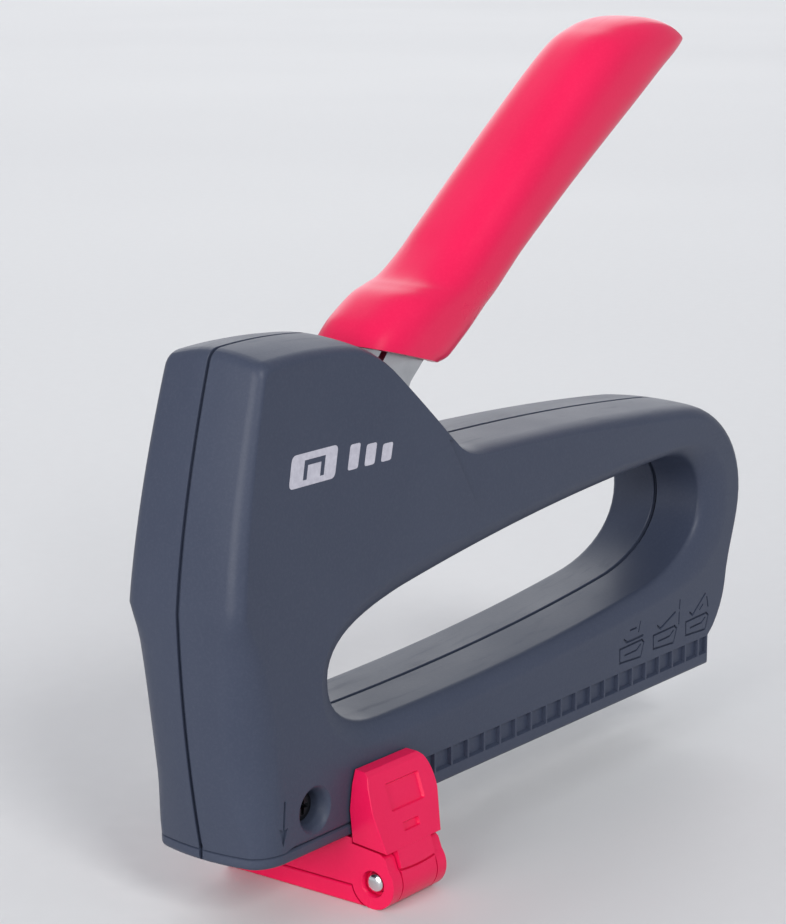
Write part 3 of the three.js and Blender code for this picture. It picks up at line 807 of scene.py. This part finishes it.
# Stations from the flared skirt to the tip: a point on the upper side, the facing point on the
# lower side, and half the width there.
STATIONS = np.array([
    (36, 82, 57.3, 76.2, 9.1), (38.4, 84.5, 59.9, 76.5, 9.2), (40.9, 86.4, 62.2, 77.7, 9.2),
    (46.2, 89.3, 67.2, 81.2, 9.2), (50.4, 90.4, 71.1, 84.4, 9.15), (54.4, 91.5, 74.5, 86.9, 9.1),
    (60.4, 95.2, 79.3, 90.7, 9), (66.7, 100.1, 83.6, 93.9, 9), (84.9, 114.3, 99.9, 104.6, 9),
    (104, 128.4, 120.6, 117.3, 8.9), (112.2, 132.2, 129.2, 122.7, 8.6), (119.5, 133.7, 134.4, 125.6, 8),
    (126.3, 133.6, 137.4, 127.3, 7), (132, 132.2, 139.2, 128.2, 5.6), (136, 130.8, 139.8, 128.6, 3.6),
])
SKIRT_WALL = 1.7


def smooth_stations(stations, steps):
    """Catmull-Rom curves through the stations."""
    padded = np.concatenate([[2 * stations[0] - stations[1]], stations,
                             [2 * stations[-1] - stations[-2]]])
    found = []
    for i in range(1, len(padded) - 2):
        a, b, c, d = padded[i - 1:i + 3]
        for k in range(steps):
            t = k / steps
            found.append(b + (c - a) * t / 2 + (2 * a - 5 * b + 4 * c - d) * t * t / 2
                         + (3 * b - a - 3 * c + d) * t ** 3 / 2)
    return np.array(found + [stations[-1]])


def lever_ring(station, wall=0.0, sides=64):
    """A section between an oval and a rounded box; a wall makes it the inside of the skirt."""
    top, bottom, half = station[:2], station[2:4], station[4] - wall
    middle, rise = (top + bottom) / 2, (top - bottom) / 2
    rise = rise * (1 - wall / np.linalg.norm(rise))
    angles = np.linspace(0, 2 * math.pi, sides, endpoint=False)
    power = 2 / 2.8
    up = np.sign(np.cos(angles)) * abs(np.cos(angles)) ** power
    side = np.sign(np.sin(angles)) * abs(np.sin(angles)) ** power
    return np.stack([middle[0] + rise[0] * up, half * side, middle[1] + rise[1] * up], 1)


def tip_rings(stations):
    """The last few rings, which close the tip in a round."""
    last, step = stations[-1], (stations[-1] - stations[-2])[:4]
    reach = np.linalg.norm(step[:2] + step[2:]) / 2
    rings = []
    for grow, along in ((0.8, 0.9), (0.45, 1.35)):
        ring = last.copy()
        middle = (last[:2] + last[2:4]) / 2
        move = (step[:2] + step[2:4]) / 2 / reach * along
        ring[:2] = middle + (last[:2] - middle) * grow + move
        ring[2:4] = middle + (last[2:4] - middle) * grow + move
        ring[4] = last[4] * grow
        rings.append(lever_ring(ring))
    return rings


def lever_grip():
    """The red grip: a lofted skin with a hollow skirt and a pocket for the lever's core."""
    stations = smooth_stations(STATIONS, 6)
    rim = stations[0].copy()
    rim[:4] += (stations[0] - stations[2])[:4] * 0.1
    rings = [lever_ring(rim, 0.5)] + [lever_ring(station) for station in stations]
    grip = loft(rings + tip_rings(stations))
    inside = smooth_stations(STATIONS[:7], 4)
    mouth = inside[0] * 2 - inside[4]
    hollow = [lever_ring(mouth, SKIRT_WALL)] + [lever_ring(s, SKIRT_WALL) for s in inside[:-3]]
    hollow.append(lever_ring(inside[-2], 5))
    pocket = prism([(40, 68), (62, 70), (61.5, 80.5), (95.4, 106.2), (95.4, 112.9), (52, 86.6),
                    (44, 82)], -5.3, 5.3)
    cut(grip, loft(hollow), pocket)
    return finish(grip, "lever_grip_skin", "lever", RED, ["lever_grip"], 40)


# ---------------------------------------------------------------- edge guide

TAB_TOP, TAB_FOOT = np.array((-15.8, 11.0)), np.array((-20.2, -1.7))  # (Y, Z) of its outer face


def guide_arm():
    """The L-shaped arm with two hinge cheeks; the room between them is the latch's."""
    y, z = HINGE[1], HINGE[2]
    arm = prism([(16, SPLIT), (16, 8), (12.9, 8), (12.9, -0.35), (-12.5, -0.35), (-12.5, -1.4),
                 (-18.6, -2), (-19.7, -2.8), (y - KNUCKLE, z), (y, SPLIT)], FRONT, REAR, "x")
    knuckle = turned("x", (y, z), [(KNUCKLE, FRONT), (KNUCKLE, REAR)], 72)
    arm = soften(add(arm, knuckle), 0.7, 3, 40)
    room_front, room_rear = FRONT + CHEEK, REAR - CHEEK
    room = add(turned("x", (y, z), [(4.8, room_front), (4.8, room_rear)], 64),
               box((room_front, room_rear), (-23, -12.6), (z, 1)))
    bore = turned("x", (y, z), [(2.55, FRONT - 0.2), (2.35, FRONT + 0.15), (2.3, FRONT + 1.6),
                                (1.9, FRONT + 1.6), (1.9, REAR - 1.6), (2.3, REAR - 1.6),
                                (2.35, REAR - 0.15), (2.55, REAR + 0.2)], 48)
    holes = [turned("z", (GUIDE_MIDDLE, side * GUIDE_SCREW_Y), [(THREAD, -10), (THREAD, -3.6)], 24)
             for side in (-1, 1)]
    cut(arm, room, bore, *holes)
    return finish(arm, "guide_arm_skin", "edge_guide", RED, ["guide_arm"], 35)


def guide_sole():
    """The flat sole under the arm, hollowed round the hinge."""
    sole = box((FRONT, REAR), (HINGE[1], 16), (-12.2, -9))
    soften(sole, 0.5, 3)
    tools = [turned("x", (HINGE[1], HINGE[2]), [(4.8, FRONT - 1), (4.8, REAR + 1)], 72)]
    for side in (-1, 1):
        profile = [(3, -12.5), (2.8, -12), (2.8, -10.4), (THREAD, -10.4), (THREAD, -8)]
        tools.append(turned("z", (GUIDE_MIDDLE, side * GUIDE_SCREW_Y), profile, 32))
    cut(sole, *tools)
    return finish(sole, "guide_sole_skin", "edge_guide", RED, ["guide_sole"], 35)


def tab_recess(outline, deep, draft):
    """A recess into the latch's sloping face, given by an (X, Z) outline on it."""
    along = (TAB_TOP - TAB_FOOT) / np.linalg.norm(TAB_TOP - TAB_FOOT)
    normal = np.array((-along[1], along[0]))
    rings = []
    for lift, points in ((-deep, grown(np.array(outline), -draft)), (0, np.array(outline)),
                         (1.5, grown(np.array(outline), 0.1))):
        y = TAB_FOOT[0] + (points[:, 1] - TAB_FOOT[1]) * along[0] / along[1]
        rings.append(np.stack([points[:, 0], y + normal[0] * lift, points[:, 1] + normal[1] * lift], 1))
    return loft(rings)


def guide_latch():
    """The snap-over latch: a tapered tab with two finger recesses, on a hinged tongue."""
    section = prism([(-12.85, 11.9), (-15, 11.7), TAB_TOP, TAB_FOOT, (-12.85, -1)], 20, 43, "x")
    outline = closed(trace((24.2, 12.5), ((23.1, 9.3), (22.5, 5), (23.4, -2), (38.6, -2),
                                          (40.9, 5.2), (41.2, 10.2, 38, 12.1), (37, 12.5)),
                           (1, 1, 1, 1, 1, 8, 1)))
    tab = soften(common(section, prism(outline, -25, -10)), 0.55, 3, 24)
    y, z = HINGE[1], HINGE[2]
    low, high = FRONT + CHEEK + GAP, REAR - CHEEK - GAP
    tongue = prism([(-13.2, -0.6), (-19.9, -0.9), (-20.2, -1.9), (-20.9, -4.2), (y - KNUCKLE, z),
                    (-14, z), (-13.2, -4.6)], low, high, "x")
    barrel = turned("x", (y, z), [(KNUCKLE, low), (KNUCKLE, high)], 72)
    latch = add(tab, soften(add(tongue, barrel), 0.2, 2, 40))
    window = soften_plan([(27.5, 4.3), (36.9, 4.3), (36.9, 9), (27.5, 9)], 0.5)
    pill = soften_plan([(29.3, 0.6), (33.9, 0.6), (33.9, 2.1), (29.3, 2.1)], 0.5)
    groove = closed(trace((26, -4.75), ((31, -5.4, 36, -4.75), (36, -5.15), (31, -5.8, 26, -5.15),
                                        (26, -4.75)), (10, 1, 10, 1)))
    bore = turned("x", (y, z), [(1.9, low - 1), (1.9, high + 1)], 40)
    cut(latch, tab_recess(window, 0.5, 0.25), tab_recess(pill, 0.5, 0.2),
        prism(groove, -24, -20.5), bore)
    return finish(latch, "guide_latch_skin", "guide_latch", RED, ["guide_latch"], 35)


def guide_pin():
    """The hinge pin, with slightly domed polished ends."""
    low, high = cad_box("guide_pin")
    dome = [(0.3, 0), (0.9, 0.06), (1.35, 0.2), (1.65, 0.45), (1.75, 0.8)]
    profile = [(r, low[0] - 0.15 + a) for r, a in dome]
    profile += [(r, high[0] + 0.15 - a) for r, a in reversed(dome)]
    pin = turned("x", (HINGE[1], HINGE[2]), profile, 48)
    return finish(pin, "guide_pin_shape", "edge_guide", CHROME, ["guide_pin"])


def coil(node, body):
    """A zinc copy of a CAD spring that rides on a body in place of the CAD node."""
    piece = bpy.data.objects.new(node + "_coil", frame["nodes"][node].data.copy())
    bpy.context.scene.collection.objects.link(piece)
    piece.data.materials.clear()
    piece.data.materials.append(ZINC)
    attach(piece, body)
    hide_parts(node)
    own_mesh(piece)


def edge_softened(node, look):
    """A CAD part that is seen as it is, with its material and slightly broken edges."""
    piece = frame["nodes"][node]
    piece.data.materials.clear()
    piece.data.materials.append(look)
    if "spring" in node:
        return
    bevel = piece.modifiers.new("edges", "BEVEL")
    bevel.width = 0.12 * MM
    bevel.segments = 2
    bevel.limit_method = "ANGLE"
    bevel.angle_limit = math.radians(40)


housing()
mark_piece()
nose_foot()
screws()
lever_grip()
guide_arm()
guide_sole()
guide_latch()
guide_pin()
coil("drive_spring", "housing")
coil("pusher_spring", "drawer")

# ---------------------------------------------------------------- camera, floor and light

def set_camera():
    """The photograph's viewing angle: from the front left, a little above."""
    data = bpy.data.cameras.new("camera")
    data.lens = 101.3
    data.sensor_width = 36
    camera = bpy.data.objects.new("camera", data)
    camera.location = (-0.30482, -0.27282, 0.1578)
    camera.rotation_euler = (math.radians(90 - 12.458), 0, math.radians(-52.551))
    bpy.context.scene.collection.objects.link(camera)
    bpy.context.scene.camera = camera


def soft_sun(name, towards, strength, spread, colour=(1, 1, 1)):
    """A distant soft light; towards points from the object at the light."""
    data = bpy.data.lights.new(name, "SUN")
    data.energy = strength
    data.angle = math.radians(spread)
    data.color = colour
    light = bpy.data.objects.new(name, data)
    light.rotation_euler = Vector(towards).to_track_quat("Z", "Y").to_euler()
    bpy.context.scene.collection.objects.link(light)


def set_stage():
    """A pale floor under the guide, three soft lights and a dim even sky."""
    floor_z = CAD_BOX[0][2]
    floor = new_mesh("floor", [(-9, -9, floor_z), (9, -9, floor_z), (9, 9, floor_z), (-9, 9, floor_z)],
                     [(0, 1, 2, 3)])
    floor.data.materials.append(studio_floor("floor_paint"))
    soft_sun("front", (-0.97, -0.05, 0.22), 1.9, 40, (1, 0.985, 0.97))
    soft_sun("side", (-0.36, -0.74, 0.56), 1.3, 18)
    soft_sun("rear", (0.7, 0.6, 0.45), 0.8, 50, (0.97, 0.98, 1))
    world = bpy.data.worlds.new("studio")
    world.use_nodes = True
    world.node_tree.nodes["Background"].inputs["Color"].default_value = (0.9, 0.93, 1, 1)
    world.node_tree.nodes["Background"].inputs["Strength"].default_value = 0.5
    bpy.context.scene.world = world
    bpy.context.scene.view_settings.view_transform = "Standard"


set_camera()
set_stage()

for part in frame["record"]["subparts"]:
    bright = part["node"] == "lever_core"
    edge_softened(part["node"], STEEL if bright else FINISH[part["material_slot"]])
